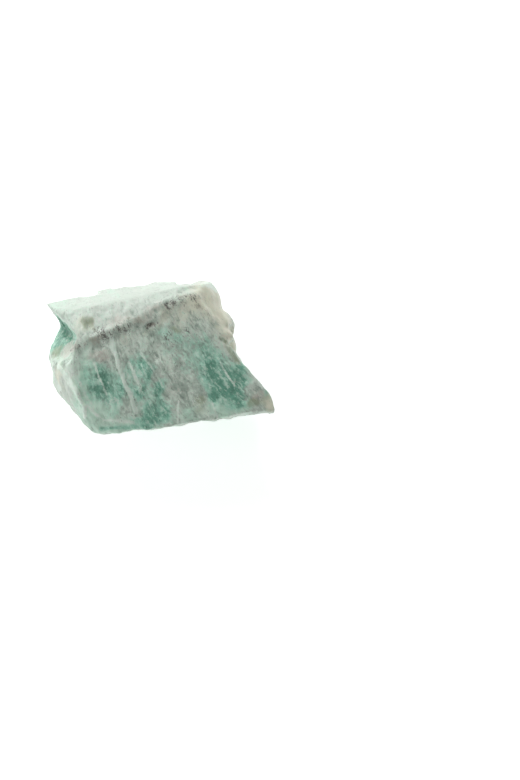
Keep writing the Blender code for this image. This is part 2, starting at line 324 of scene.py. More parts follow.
# Each patch: its tint, middle, half width and half length, strength, lean in degrees and upper limit
PATCH_ROWS = (
    # deep blue-green at the left of the main face
    (Tint.GREEN, (-13.5, -5.7), (2.2, 3.4), 0.5, -17),
    (Tint.GREEN, (-11.5, -6.9), (2.4, 3.6), 0.5, -17),
    (Tint.GREEN, (-11.1, -10.9), (3.0, 3.2), 0.5, -17),
    (Tint.GREEN, (-14.7, -9.0), (2.0, 3.4), 0.4, -17),
    (Tint.GREEN, (-8.7, -8.7), (1.4, 4.2), 0.6, -17),
    # smaller green patches right of the long vein
    (Tint.GREEN, (-3.9, -4.9), (1.6, 3.4), 0.7, -24),
    (Tint.GREEN, (-2.3, -7.2), (1.4, 3.0), 0.7, -24),
    (Tint.GREEN, (-5.8, -3.4), (1.4, 2.4), 0.5, -20),
    (Tint.GREEN, (-5.3, -10.4), (2.4, 1.9), 0.75, -20),
    (Tint.GREEN, (0.1, -10.4), (1.6, 2.6), 0.8, -20),
    (Tint.GREEN, (-2.5, -14.7), (2.6, 3.0), 0.8, -20),
    (Tint.GREEN, (0.5, -16.0), (2.4, 2.8), 0.75, -20),
    (Tint.GREEN, (-4.4, -16.6), (3.0, 2.0), 0.7, -20),
    # the darkest green, at the right
    (Tint.GREEN, (14.8, -9.8), (3.6, 4.4), 1.0, -24),
    (Tint.GREEN, (11.9, -12.4), (1.3, 3.6), 1.0, -8),
    (Tint.GREEN, (17.0, -11.6), (2.4, 3.0), 0.95, -24),
    (Tint.GREEN, (10.7, -7.9), (2.4, 3.0), 0.6, -24),
    (Tint.GREEN, (15.6, -13.8), (2.8, 2.6), 0.65, -24),
    (Tint.GREEN, (12.0, -5.4), (3.0, 2.4), 0.55, -24),
    (Tint.GREEN, (17.6, -8.2), (1.8, 3.2), 0.55, -24),
    # faint green in the upper middle and beside the left end
    (Tint.GREEN, (1.9, 1.6), (4.0, 2.8), 0.28, -20),
    (Tint.GREEN, (5.2, -1.2), (4.0, 3.4), 0.35, -20),
    (Tint.GREEN, (11.1, -2.0), (3.4, 2.8), 0.4, -24),
    (Tint.GREEN, (7.3, -6.0), (3.0, 3.2), 0.3, -24),
    (Tint.GREEN, (-16.6, -5.0), (2.0, 4.0), 0.45, -20),
    # inside the notch at the left, where the stone's green is deepened as painted shade under the lip, and on
    # the ledge before it
    (Tint.GREEN, (-18.5, 6.0), (1.8, 2.5), 1.0, 25, 21.0),
    (Tint.GREEN, (-20.0, 8.6), (2.1, 3.8), 1.0, 32, 17.0),
    (Tint.GREEN, (-22.0, 6.6), (2.6, 3.0), 0.9, 0, 15.5),
    (Tint.GREEN, (-19.6, 5.0), (1.4, 1.2), 0.6, 0, 18.5),
    (Tint.MINT, (-21.8, 6.2), (2.8, 3.2), 1.0),
    (Tint.MINT, (-21.0, 1.6), (3.4, 4.2), 0.45),
    (Tint.OLIVE, (-22.8, 4.0), (1.7, 2.2), 0.9),
    (Tint.ROSE, (-19.2, 2.8), (2.6, 2.6), 1.0),
    (Tint.PIT, (-18.6, 2.2), (0.7, 1.4), 0.5, -40),
    # pale green and white along the front and beside the long vein
    (Tint.MINT, (13.1, -16.8), (3.4, 1.9), 1.0, -10),
    (Tint.MINT, (18.0, -16.2), (2.8, 1.6), 0.9),
    (Tint.GREEN, (17.4, -15.6), (2.2, 1.4), 0.6),
    (Tint.MINT, (5.6, -16.6), (2.6, 1.8), 0.7),
    (Tint.MINT, (-3.0, -12.4), (4.0, 3.0), 0.5),
    (Tint.MINT, (-4.6, -7.6), (1.2, 3.4), 0.6, -24),
    (Tint.MINT, (-13.1, -13.5), (3.8, 2.1), 0.8),
    (Tint.MINT, (-11.3, -17.1), (7.4, 2.2), 1.0),
    (Tint.WHITE, (-11.8, -12.2), (2.4, 1.6), 0.35),
    (Tint.WHITE, (-7.2, -15.6), (2.4, 1.6), 0.35),
    # the pale left end, and the tip of the band behind the notch
    (Tint.PALE, (-18.6, -7.0), (2.0, 7.0), 0.75, -17),
    (Tint.PALE, (-17.4, -4.0), (1.8, 2.6), 0.5),
    (Tint.PALE, (-21.0, -7.6), (3.2, 7.4), 1.0, -20),
    (Tint.MINT, (-16.6, -12.4), (2.4, 4.0), 0.8),
    (Tint.MINT, (-17.2, -6.6), (2.8, 8.0), 0.95, -17),
    (Tint.MINT, (-22.0, 13.6), (6.0, 4.4), 0.4),
    (Tint.CREAM, (-22.8, -2.6), (1.6, 5.0), 0.7, -10),
    # the smooth cream lobes at the right
    (Tint.CREAM, (15.9, 6.5), (3.6, 8.4), 1.0, 8),
    (Tint.CREAM, (13.6, 11.6), (4.0, 3.0), 0.9),
    (Tint.CREAM, (17.5, 0.4), (2.2, 2.6), 0.9),
    (Tint.CREAM, (11.0, 7.6), (2.6, 2.8), 0.8),
    (Tint.CREAM, (7.4, 5.8), (5.0, 3.0), 0.5, 70),
    (Tint.WHITE, (14.6, 13.6), (3.0, 1.8), 0.8),
    # cream before the seam, and the small square recess in the pale band
    (Tint.CREAM, (-1.4, 2.6), (2.0, 1.2), 0.4),
    (Tint.CREAM, (-6.4, 1.4), (2.0, 1.4), 0.35),
    (Tint.CREAM, (2.8, 5.4), (3.2, 1.6), 0.5, 60),
    (Tint.CREAM, (-15.6, 6.6), (3.0, 2.8), 0.55),
    (Tint.OLIVE, (-14.8, 6.2), (1.1, 2.5), 0.75),
    (Tint.OLIVE, (-13.2, 6.3), (1.1, 2.6), 0.85),
    (Tint.STAIN, (-12.9, 6.2), (0.5, 2.2), 0.75),
    # dull olive spots
    (Tint.OLIVE, (8.5, -14.5), (2.4, 2.2), 0.7),
    (Tint.OLIVE, (5.5, 2.1), (2.0, 1.0), 0.6),
    # this olive strip under the lobes is painted shade
    (Tint.OLIVE, (17.0, -4.0), (1.0, 3.2), 0.7, 24),
    (Tint.OLIVE, (14.2, 2.0), (1.0, 1.2), 0.5),
    (Tint.OLIVE, (11.0, 7.2), (0.8, 1.6), 0.5),
    # the wedge at the front right with its rust spot, and the rim behind it
    (Tint.OLIVE, (21.0, -15.4), (3.0, 1.5), 0.8, 10),
    (Tint.GREEN, (23.2, -13.6), (0.8, 1.6), 0.4, 20),
    (Tint.CREAM, (24.4, -16.4), (1.2, 2.4), 0.6, 24),
    (Tint.CREAM, (23.6, -15.8), (1.4, 2.6), 0.6, 20),
    (Tint.ROSE, (21.3, -14.2), (1.5, 1.4), 0.9),
    (Tint.STAIN, (21.3, -14.2), (0.7, 0.8), 0.5),
    (Tint.PALE, (20.2, -10.6), (1.5, 2.0), 0.8, 24),
    (Tint.MINT, (19.8, -8.6), (1.4, 3.6), 0.6, 24),
    # pinkish grey
    (Tint.ROSE, (3.5, -10.7), (2.6, 2.6), 0.45),
    (Tint.ROSE, (-12.6, -1.6), (3.2, 2.0), 0.75),
    (Tint.ROSE, (-5.7, -14.7), (1.6, 1.6), 0.4),
    (Tint.ROSE, (-7.6, 6.0), (4.0, 1.9), 0.6, 10),
    (Tint.ROSE, (0.4, 7.2), (3.4, 1.8), 0.6, 20),
    # dirt along the seam
    (Tint.STAIN, (-0.2, 4.2), (1.8, 1.1), 0.8, 10),
    (Tint.STAIN, (-7.6, 3.7), (1.8, 1.3), 0.45, 10),
    (Tint.STAIN, (-11.4, 2.8), (1.9, 1.3), 0.45, 10),
    (Tint.STAIN, (4.0, 8.3), (2.0, 1.4), 0.5, 10),
    (Tint.STAIN, (9.4, 9.9), (2.4, 0.8), 0.6, 20),
    (Tint.STAIN, (-13.8, 1.5), (1.7, 1.1), 0.7),
    (Tint.STAIN, (-17.0, 1.2), (0.9, 1.1), 0.6, -30),
    (Tint.STAIN, (-3.6, 5.8), (2.2, 1.0), 0.65, 10),
    (Tint.STAIN, (10.9, 7.0), (0.7, 1.1), 0.6),
    # the darkest flecks in it
    (Tint.PIT, (-0.3, 4.2), (1.6, 1.0), 1.0, 10),
    (Tint.PIT, (-7.4, 3.7), (1.5, 1.8), 1.0, 10),
    (Tint.PIT, (-11.4, 3.1), (1.8, 2.6), 0.85, 10),
    (Tint.PIT, (4.0, 8.0), (1.7, 1.6), 0.85, 10),
    (Tint.PIT, (10.4, 9.4), (1.5, 1.3), 0.62, 20),
    (Tint.PIT, (7.4, 8.6), (1.6, 1.8), 0.5, 20),
    (Tint.PIT, (-16.8, 1.2), (0.7, 1.2), 0.8, -30),
    (Tint.PIT, (-4.2, 5.2), (1.6, 1.4), 0.5, 10),
    # and thinner ones out on the face
    (Tint.PIT, (2.6, -0.6), (2.2, 2.8), 0.34, -20),
    (Tint.PIT, (7.6, 0.8), (2.2, 1.8), 0.34, -20),
    (Tint.PIT, (5.2, -6.2), (1.6, 1.2), 0.34, -20),
    (Tint.PIT, (12.4, 6.4), (0.8, 1.4), 0.34),
)
PATCHES = tuple(Patch(*row) for row in PATCH_ROWS)

LONG_VEIN = ((-9.5, 2.6), (-9.2, -0.8), (-8.8, -4.6), (-7.8, -8.1), (-6.9, -11.0), (-6.2, -14.4))
LEFT_RIDGE = ((-22.5, -0.6), (-20.5, -5.0), (-18.6, -8.9), (-17.8, -10.8), (-17.8, -13.4))
FRONT_LEDGE = ((-17.4, -11.3), (-15.2, -13.5), (-13.4, -14.9), (-11.2, -15.4), (-7.2, -16.6))
RIGHT_RIM = ((18.4, -3.9), (19.2, -5.7), (20.3, -7.9), (21.4, -9.9), (22.5, -11.7))
FACET_EDGE = (
    *((-19.0, 8.6), (-13.6, 9.0), (-9.0, 9.4), (-4.4, 9.7)),
    *((0.3, 10.4), (5.0, 11.2), (9.7, 12.1)),
)
SEAM = (
    *((-17.3, 1.3), (-15.5, 2.0), (-12.1, 2.6), (-8.3, 3.6), (-4.2, 5.0)),
    *((-1.0, 5.8), (2.2, 7.2), (6.1, 9.0), (11.1, 10.6)),
)
# The foot of the pale band, a little off the seam: places along X, and how far back it lies at each
BAND_X = (-26.0, -16.0, -11.0, -7.0, -2.0, 4.0, 12.0)
BAND_Y = (9.0, 3.0, 2.8, 4.4, 6.6, 9.2, 11.5)

# Each line: its tint, places, half width, strength, height and upper limit
LINES = (
    # the long white vein of the main face and the finer ones across the stone
    Line(Tint.WHITE, LONG_VEIN, 0.8, 1.0, 0.14),
    Line(Tint.WHITE, ((-14.2, -2.6), (-13.4, -6.1), (-12.3, -9.9)), 0.5, 0.6, 0.05),
    Line(Tint.WHITE, ((-12.2, 1.8), (-10.6, 0.6), (-9.4, -1.0)), 0.5, 0.6, 0.05),
    Line(Tint.WHITE, ((-6.3, -3.6), (-5.6, -6.0), (-4.4, -9.9)), 0.75, 0.6, 0.06),
    Line(Tint.WHITE, ((-3.4, -2.0), (-1.6, -5.0), (0.4, -9.0)), 0.6, 0.45, 0.04),
    Line(Tint.WHITE, ((3.6, -13.4), (2.9, -18.1)), 0.4, 0.7, 0.06),
    Line(Tint.WHITE, ((11.1, -14.8), (11.8, -18.5)), 0.45, 0.6, 0.06),
    Line(Tint.WHITE, ((14.2, -6.0), (15.4, -9.0), (16.6, -11.6)), 0.5, 0.6, 0.05),
    # the ridge, its shaded foot, the rim and the ledge round the left end
    Line(Tint.WHITE, LEFT_RIDGE, 0.7, 1.0, 0.3),
    Line(Tint.WHITE, ((-20.1, -2.5), (-17.9, -6.8), (-15.7, -12.2)), 0.6, 0.45, 0.05),
    Line(Tint.OLIVE, ((-21.6, -0.8), (-19.7, -5.2), (-17.7, -9.4)), 0.6, 0.35, -0.12),
    Line(Tint.WHITE, ((-24.4, 5.5), (-24.6, 3.5), (-24.1, -2.5), (-22.9, -5.4)), 1.0, 0.7),
    Line(Tint.WHITE, FRONT_LEDGE, 0.5, 0.6, 0.08),
    Line(Tint.GREEN, ((-14.8, -16.4), (-11.4, -16.9), (-7.3, -17.5), (-3.5, -18.2)), 0.8, 0.6, -0.06),
    # pale edges of the back facet and of the right rim
    Line(Tint.PALE, FACET_EDGE, 1.5, 0.8),
    Line(Tint.PALE, RIGHT_RIM, 1.4, 0.7),
    # the crack under the lobes, a real groove whose olive line is also painted shadow
    Line(Tint.OLIVE, ((15.1, -0.6), (16.0, -1.3), (17.2, -1.9), (18.3, -2.2)), 0.6, 0.9, -0.35),
    # the groove under the lip of the notch, a real groove with green and an olive line painted in it as shade
    Line(Tint.GREEN, ((-21.4, 11.8), (-20.2, 9.2), (-18.9, 6.8), (-17.7, 4.9)), 1.3, 1.0, -0.7, 17.0),
    Line(Tint.OLIVE, ((-21.8, 12.6), (-20.6, 9.8), (-19.2, 7.2)), 0.6, 0.5, 0.0, 17.5),
    # the seam between the main face and the pale band, filled a little where the solid steps down
    Line(Tint.STAIN, SEAM, 2.2, 0.12, 0.4),
)

# Each swell: its middle, half width and half length, height and lean in degrees
SWELLS = (
    # the lobes at the right, and the nick between them
    Swell((15.0, 11.4), (3.4, 4.4), 0.35),
    Swell((17.6, 4.8), (2.8, 3.0), 0.35),
    Swell((17.8, 0.3), (2.2, 2.2), 0.3),
    Swell((18.6, 2.6), (1.2, 0.6), -0.5),
    # the small square recess in the pale band, and the flat one in the seam
    Swell((-14.0, 6.2), (1.5, 2.0), -0.35),
    Swell((-13.8, 1.7), (2.1, 1.0), -0.25),
    # the pits of the seam
    Swell((-0.3, 4.2), (1.4, 0.9), -0.6, 10),
    Swell((-7.8, 3.7), (1.2, 1.2), -0.2, 10),
    Swell((-11.2, 2.9), (1.4, 1.1), -0.15, 10),
    Swell((4.2, 8.4), (1.3, 0.9), -0.3, 10),
)

# The sharp corner at the front right
CORNER = Pull((25.4, -17.2), 3.2, (0.15, -1.0))

RELIEFS = (
    # long and short treads of the cleavage, and hackle
    Relief((1.9, 7.0, 3.2), 0.26, 3, 5.0, 3.1),
    Relief((1.0, 2.6, 1.5), 0.13, 2, 4.0, 17.7),
    Relief((0.7, 1.3, 0.9), 0.09, 2, 0.0, 41.3),
    # small broken plates
    Chips((1.5, 2.2, 1.6), 0.10, 7.3),
)


class Skin:
    """The stone's even skin while it is worked: its points, and which faces share a corner or an edge."""

    def __init__(self, mesh: bpy.types.Mesh) -> None:
        """Reads the skin.

        Args:
            mesh: A closed mesh in metres.
        """
        self.mesh = mesh
        self.points = self._read(mesh.vertices, "co", 3).reshape(-1, 3) / MM
        self.starts = self._read(mesh.polygons, "loop_start", 1, int)
        self.totals = self._read(mesh.polygons, "loop_total", 1, int)
        self.corners = self._read(mesh.loops, "vertex_index", 1, int)
        self.faces = np.repeat(np.arange(len(self.starts)), self.totals)
        following = np.arange(len(self.corners)) + 1
        following[self.starts + self.totals - 1] = self.starts
        self.following = self.corners[following]
        edges = self._read(mesh.loops, "edge_index", 1, int)
        order = np.argsort(edges, kind="stable")
        same = edges[order][:-1] == edges[order][1:]
        self.pairs = np.column_stack((self.faces[order][:-1][same], self.faces[order][1:][same]))
        self.edges = self._read(mesh.edges, "vertices", 2, int).reshape(-1, 2)

    @staticmethod
    def _read(items: bpy.types.bpy_prop_collection, name: str, width: int, kind: type = float) -> np.ndarray:
        """Reads one property of every item.

        Args:
            items: Points, corners, edges or faces.
            name: The property.
            width: How many numbers it has.
            kind: What kind of numbers they are.

        Returns:
            The numbers, item after item.
        """
        values = np.empty(len(items) * width, kind)
        items.foreach_get(name, values)
        return values

    @staticmethod
    def _gather(places: np.ndarray, rows: np.ndarray, count: int) -> np.ndarray:
        """The sum of the rows that fall on each place."""
        return np.column_stack([np.bincount(places, column, count) for column in rows.T])

    def face_normals(self) -> np.ndarray:
        """The way each face points.

        Returns:
            Unit rows.
        """
        turned = np.cross(self.points[self.corners], self.points[self.following])
        sums = np.add.reduceat(turned, self.starts)
        return sums / np.linalg.norm(sums, axis=1)[:, None]

    def normals(self) -> np.ndarray:
        """The way the skin points at each point, as unit rows."""
        sums = self._gather(self.corners, self.face_normals()[self.faces], len(self.points))
        return sums / np.linalg.norm(sums, axis=1)[:, None]

    def sharpen(self, rounds: int, likeness: float) -> None:
        """Flattens what is nearly flat and keeps the edges between, as on a fresh cleavage.

        Args:
            rounds: How often each face takes after its neighbours, and each point after its faces.
            likeness: How far two faces may differ before they stop pulling on each other.
        """
        facing = self.face_normals()
        first, second = self.pairs.T
        for _ in range(rounds):
            gap = ((facing[first] - facing[second]) ** 2).sum(axis=1)
            pull = np.exp(-gap / (2.0 * likeness * likeness))[:, None]
            sums = facing + self._gather(first, facing[second] * pull, len(facing))
            sums += self._gather(second, facing[first] * pull, len(facing))
            facing = sums / np.linalg.norm(sums, axis=1)[:, None]
        share = np.bincount(self.corners)[:, None]
        for _ in range(rounds):
            centres = np.add.reduceat(self.points[self.corners], self.starts) / self.totals[:, None]
            normal = facing[self.faces]
            gap = ((centres[self.faces] - self.points[self.corners]) * normal).sum(axis=1)
            self.points += self._gather(self.corners, normal * gap[:, None], len(self.points)) / share

    def spread(self, values: np.ndarray, rounds: int) -> np.ndarray:
        """Evens values out over the skin.

        Args:
            values: One value or row for each point.
            rounds: How often each point takes the mean of itself and its neighbours.

        Returns:
            The evened values.
        """
        rows = values.reshape(len(self.points), -1)
        start, end = self.edges.T
        count = np.bincount(self.edges.ravel(), minlength=len(rows))[:, None]
        for _ in range(rounds):
            sums = self._gather(start, rows[end], len(rows)) + self._gather(end, rows[start], len(rows))
            rows = (rows + sums / count) / 2.0
        return rows.reshape(values.shape)

    def write(self) -> None:
        """Puts the worked points back into the mesh."""
        self.mesh.vertices.foreach_set("co", (self.points * MM).astype(np.float32).ravel())
        self.mesh.update()

    def keep(self, name: str, values: np.ndarray) -> None:
        """Keeps values on the skin as an attribute.

        Args:
            name: The attribute's name.
            values: One value for each point, or one row of three.
        """
        wide = values.ndim > 1
        kind = "FLOAT_VECTOR" if wide else "FLOAT"
        made = self.mesh.attributes.new(name, kind, "POINT")
        made.data.foreach_set("vector" if wide else "value", values.astype(np.float32).ravel())


Value = Union["Socket", float]


@dataclass(frozen=True)
class Weave:
    """One noise of the finish: its waves over 1 mm, how many finer layers, their strength and its bend."""

    waves: Triple
    detail: float
    roughness: float
    bend: float


class Socket:
    """A node's output. Arithmetic on it adds Math nodes to its tree."""

    def __init__(self, shading: "Shading", link: bpy.types.NodeSocket) -> None:
        """Wraps an output.

        Args:
            shading: The tree that the output is in.
            link: The output itself.
        """
        self.shading = shading
        self.link = link

    def _math(self, operation: str, *values: Value) -> "Socket":
        """A Math node on these values."""
        made = self.shading.node("ShaderNodeMath", {"operation": operation}, dict(enumerate(values)))
        return Socket(self.shading, made.outputs[0])

    def __add__(self, other: Value) -> "Socket":
        """Adds."""
        return self._math("ADD", self, other)

    def __radd__(self, other: Value) -> "Socket":
        """Adds."""
        return self._math("ADD", other, self)

    def __sub__(self, other: Value) -> "Socket":
        """Subtracts."""
        return self._math("SUBTRACT", self, other)

    def __rsub__(self, other: Value) -> "Socket":
        """Subtracts."""
        return self._math("SUBTRACT", other, self)

    def __mul__(self, other: Value) -> "Socket":
        """Multiplies."""
        return self._math("MULTIPLY", self, other)

    def __rmul__(self, other: Value) -> "Socket":
        """Multiplies."""
        return self._math("MULTIPLY", other, self)

    def peak(self, other: Value) -> "Socket":
        """The larger of the two."""
        return self._math("MAXIMUM", self, other)

    def ridge(self, width: float) -> "Socket":
        """A thin line, 1 where the value crosses 0 and 0 from width on."""
        return self._math("ABSOLUTE", self).eased(width, 0.0)

    def eased(self, low: float, high: float) -> "Socket":
        """Eases from 0 at low to 1 at high.

        Args:
            low: Where the result starts to rise.
            high: Where it reaches 1. It may be below low.

        Returns:
            The eased value.
        """
        settings = {"interpolation_type": "SMOOTHSTEP"}
        inputs = {"Value": self, "From Min": low, "From Max": high}
        return Socket(self.shading, self.shading.node("ShaderNodeMapRange", settings, inputs).outputs[0])


class Shading:
    """One material's node tree."""

    def __init__(self, name: str) -> None:
        """Starts a material with a bare Principled shader.

        Args:
            name: The material's name.
        """
        self.material = bpy.data.materials.new(name)
        self.material.use_nodes = True
        self.tree = self.material.node_tree
        self.shader = self.tree.nodes["Principled BSDF"]

    def put(self, socket: bpy.types.NodeSocket, value: object) -> None:
        """Links a value to an input, or sets it there.

        Args:
            socket: The input.
            value: A Socket, a number, or a tuple for a colour or vector.
        """
        if isinstance(value, Socket):
            self.tree.links.new(value.link, socket)
        elif isinstance(value, tuple) and socket.type == "RGBA":
            socket.default_value = (*value, 1.0)
        else:
            socket.default_value = value

    def node(self, kind: str, settings: dict[str, object], inputs: dict[object, object]) -> bpy.types.Node:
        """Adds a node.

        Args:
            kind: Its type.
            settings: Its own properties, which are set first.
            inputs: Values or Sockets for its inputs, by name or number.

        Returns:
            The node.
        """
        made = self.tree.nodes.new(kind)
        for name, value in settings.items():
            setattr(made, name, value)
        for key, value in inputs.items():
            self.put(made.inputs[key], value)
        return made

    def held(self, name: str, output: str = "Fac") -> Socket:
        """What the skin holds under a name: a value, or a place if the output is Vector."""
        return Socket(self, self.node("ShaderNodeAttribute", {"attribute_name": name}, {}).outputs[output])

    def place(self) -> Socket:
        """Where a point is on the stone, in metres."""
        return Socket(self, self.node("ShaderNodeTexCoord", {}, {}).outputs["Object"])

    def _vector_math(self, operation: str, *values: object) -> Socket:
        """A Vector Math node on these values."""
        made = self.node("ShaderNodeVectorMath", {"operation": operation}, dict(enumerate(values)))
        return Socket(self, made.outputs[0])

    def scaled(self, vector: Socket, factors: Triple) -> Socket:
        """A vector with each part multiplied by its own factor."""
        return self._vector_math("MULTIPLY", vector, factors)

    def cloud(self, vector: Socket, weave: Weave) -> Socket:
        """Fractal noise.

        Args:
            vector: Where it is read, in mm.
            weave: What it is like.

        Returns:
            Values around 0.
        """
        inputs = {"Vector": self.scaled(vector, weave.waves), "Scale": 1.0, "Detail": weave.detail}
        inputs |= {"Roughness": weave.roughness, "Distortion": weave.bend}
        return Socket(self, self.node("ShaderNodeTexNoise", {}, inputs).outputs["Fac"]) - 0.5

    def cells(self, vector: Socket, waves: Triple) -> Socket:
        """Broken plates, each with a value of its own around 0.

        Args:
            vector: Where they are read, in mm.
            waves: How many of them there are over 1 mm.

        Returns:
            The value of the plate.
        """
        inputs = {"Vector": self.scaled(vector, waves), "Scale": 1.0, "Randomness": 1.0}
        made = self.node("ShaderNodeTexVoronoi", {}, inputs)
        split = self.node("ShaderNodeSeparateColor", {}, {0: Socket(self, made.outputs["Color"])})
        return Socket(self, split.outputs[0]) - 0.5

    def bent(self, vector: Socket, waves: float, reach: float) -> Socket:
        """A vector that wanders to each side.

        Args:
            vector: The vector.
            waves: How many times it wanders over one unit.
            reach: How far it wanders.

        Returns:
            The wandering vector.
        """
        inputs = {"Vector": vector, "Scale": waves, "Detail": 3.0, "Roughness": 0.6}
        drift = Socket(self, self.node("ShaderNodeTexNoise", {}, inputs).outputs["Color"])
        centred = self._vector_math("SUBTRACT", drift, (0.5,) * 3)
        return self._vector_math("MULTIPLY_ADD", centred, (reach,) * 3, vector)

    def mix(self, first: Union[Socket, Triple], second: Union[Socket, Triple], share: Value) -> Socket:
        """A blend of two colours.

        Args:
            first: The colour where share is 0.
            second: The colour where share is 1.
            share: From 0 to 1.

        Returns:
            The blended colour.
        """
        made = self.node("ShaderNodeMix", {"data_type": "RGBA"}, {0: share, 6: first, 7: second})
        return Socket(self, made.outputs[2])


WISPS = Weave((0.42, 0.12, 0.2), 5.0, 0.62, 0.5)
PATCHY = Weave((0.5, 0.5, 0.5), 5.0, 0.68, 0.8)
FLECKS = Weave((2.0, 0.55, 1.3), 3.0, 0.6, 0.3)
HATCH = Weave((4.6, 1.3, 3.0), 2.0, 0.6, 0.2)
STROKES = Weave((1.3, 0.55, 1.1), 2.0, 0.5, 0.4)
# How many broken plates and chips of colour there are over 1 mm
PLATES = (1.0, 0.4, 0.8)
SPLINTERS = (2.4, 1.0, 1.8)


class Patterns:
    """The noises that break up the tints, each around 0. All but the patchy one follow the stone's grain."""

    def __init__(self, s: Shading) -> None:
        """Lays the noises out.

        Args:
            s: The stone's finish.
        """
        wandering = s.bent(s.held("grain", "Vector"), waves=0.8, reach=1.0)
        self.wisps = s.cloud(wandering, WISPS)
        self.patchy = s.cloud(s.scaled(s.place(), (1.0 / MM,) * 3), PATCHY)
        self.flecks = s.cloud(wandering, FLECKS)
        self.hatch = s.cloud(wandering, HATCH)
        self.strokes = s.cloud(wandering, STROKES)
        self.plates = s.cells(wandering, PLATES)
        self.chips = s.cells(wandering, SPLINTERS)
        broad = self.patchy * 1.4 + self.flecks * 1.3 + self.plates * 0.22
        self.ragged = broad + self.chips * 0.1 + self.hatch * 0.4
        self.tone = self.wisps * 2.0 + self.ragged * 0.8
        self.broken = self.patchy * 1.4 + self.flecks * 1.2 + self.hatch


@dataclass(frozen=True)
class FeldsparFinish:
    """Blue-green feldspar with white sheets in it, stained along the seam, with painted shade in its creases
    and a painted highlight along its edges.
    """

    grey: Triple = (0.37, 0.455, 0.385)
    light_grey: Triple = (0.63, 0.72, 0.625)
    green: Triple = (0.30, 0.61, 0.47)
    deep_green: Triple = (0.10, 0.30, 0.21)
    mint: Triple = (0.56, 0.80, 0.65)
    pale: Triple = (0.62, 0.70, 0.62)
    cream: Triple = (0.73, 0.73, 0.58)
    olive: Triple = (0.32, 0.38, 0.25)
    rose: Triple = (0.54, 0.52, 0.455)
    # the brown-grey of the seam's stains, also laid as painted shade in the concave creases
    stain_and_crease_shade: Triple = (0.37, 0.355, 0.29)
    pit: Triple = (0.115, 0.112, 0.10)
    crack: Triple = (0.13, 0.18, 0.15)
    white: Triple = (0.70, 0.82, 0.72)
    subsurface: float = 0.2
    subsurface_radius: Triple = (0.5, 0.9, 0.7)
    subsurface_scale: float = 1.0
    ior: float = 1.53
    bump_strength: float = 0.5
    bump_distance: float = 0.2

    def material(self) -> bpy.types.Material:
        """Builds the finish.

        Returns:
            The material.
        """
        s = Shading("amazonite_finish")
        p = Patterns(s)
        smooth = s.held("cream").peak(s.held("pale") * 0.6).peak(s.held("mint") * 0.7)
        strength = 1.0 - smooth.peak(s.held("green") * 0.45) * 0.85
        colour = self._greens(s, p, self._body(s, p))
        colour = s.mix(colour, self.rose, (s.held("rose") + p.ragged * 0.6).eased(0.25, 0.7) * 0.75)
        colour = s.mix(colour, self.olive, (s.held("olive") + p.ragged * 0.5).eased(0.2, 0.75) * 0.8)
        colour = self._marks(s, p, self._threads(s, p, colour, strength))
        s.put(s.shader.inputs["Base Color"], colour)
        self._surface(s, p, strength)
        return s.material

    def _body(self, s: Shading, p: Patterns) -> Socket:
        """The grey body of the stone, with its pale, cream and light green parts.

        Args:
            s: The finish's tree.
            p: Its patterns.

        Returns:
            The colour.
        """
        colour = s.mix(self.grey, self.light_grey, p.tone.eased(-0.36, 0.36))
        facet = s.mix(self.pale, self.mint, (p.wisps * 2.0 + p.patchy * 0.8).eased(0.0, 0.5) * 0.45)
        colour = s.mix(colour, facet, (s.held("pale") + p.ragged * 0.5).eased(0.0, 0.9) * 0.9)
        colour = s.mix(colour, self.cream, (s.held("cream") + p.ragged * 0.4).eased(0.1, 0.85) * 0.9)
        return s.mix(colour, self.mint, (s.held("mint") + p.ragged * 0.4).eased(0.1, 0.8) * 0.85)

    def _greens(self, s: Shading, p: Patterns, colour: Socket) -> Socket:
        """Adds green patches, deep green in their middles, and light flecks in them.

        Args:
            s: The finish's tree.
            p: Its patterns.
            colour: The colour so far.

        Returns:
            The new colour.
        """
        held = s.held("green")
        green = (held + p.ragged * 0.8 + p.wisps * 0.4).eased(0.15, 0.6)
        deep = (held - p.tone * 0.75).eased(0.42, 1.02)
        lively = (p.hatch * 0.9 + p.flecks * 1.0 + p.chips * 0.2 + p.patchy * 0.4).eased(0.03, 0.17)
        colour = s.mix(colour, self.green, green * 0.85)
        colour = s.mix(colour, self.deep_green, deep * 0.88)
        return s.mix(colour, self.mint, lively * green * (0.46 - deep * 0.3))

    def _threads(self, s: Shading, p: Patterns, colour: Socket, strength: Socket) -> Socket:
        """Adds white flecks and threads, and dark flecks and cracks.

        Args:
            s: The finish's tree.
            p: Its patterns.
            colour: The colour so far.
            strength: How strong they are, from 0 to 1.

        Returns:
            The new colour.
        """
        bright = (p.flecks * 1.2 + p.patchy * 0.5 + p.wisps * 0.4).eased(0.07, 0.15)
        threads = (p.wisps + p.flecks * 0.3).ridge(0.014) * (p.patchy + p.hatch * 0.6).eased(-0.06, 0.06)
        dark = (p.flecks * 1.2 + p.patchy * 0.5 - p.chips * 0.08).eased(-0.1, -0.2)
        cracks = p.patchy.ridge(0.008) * (p.wisps + p.hatch).eased(-0.05, 0.1)
        colour = s.mix(colour, self.white, (bright * 0.5).peak(threads * 0.55) * strength)
        return s.mix(colour, self.crack, (dark * 0.42).peak(cracks * 0.5) * strength)

    def _marks(self, s: Shading, p: Patterns, colour: Socket) -> Socket:
        """Adds the white veins, a painted highlight along the convex edges, the dirt, painted shade in the
        creases and the dark pits.

        Args:
            s: The finish's tree.
            p: Its patterns.
            colour: The colour so far.

        Returns:
            The new colour.
        """
        colour = s.mix(colour, self.white, (s.held("white") + p.broken * 0.6).eased(0.15, 0.65) * 0.95)
